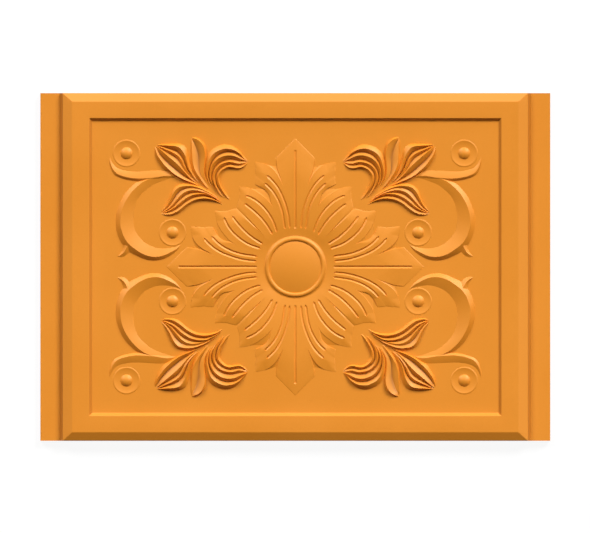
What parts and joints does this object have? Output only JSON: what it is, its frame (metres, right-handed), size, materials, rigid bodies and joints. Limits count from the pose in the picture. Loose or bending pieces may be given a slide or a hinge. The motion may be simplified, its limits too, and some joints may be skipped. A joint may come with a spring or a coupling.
{
  "type": "ceiling tile",
  "caption": "Rectangular moulded ceiling tile with side strips, a bevelled frame and a sunk field that carries a raised rosette, scrolls and acanthus leaves.",
  "frame": {"origin": "centre of the flat back face", "axes": "+X along the long side, +Y along the short side, +Z out of the ornamented face"},
  "size_m": [0.66, 0.45, 0.0211],
  "materials": {
    "moulded_body": "satin"
  },
  "bodies": {
    "root": {"ceiling_tile": "moulded_body"}
  },
  "joints": []
}
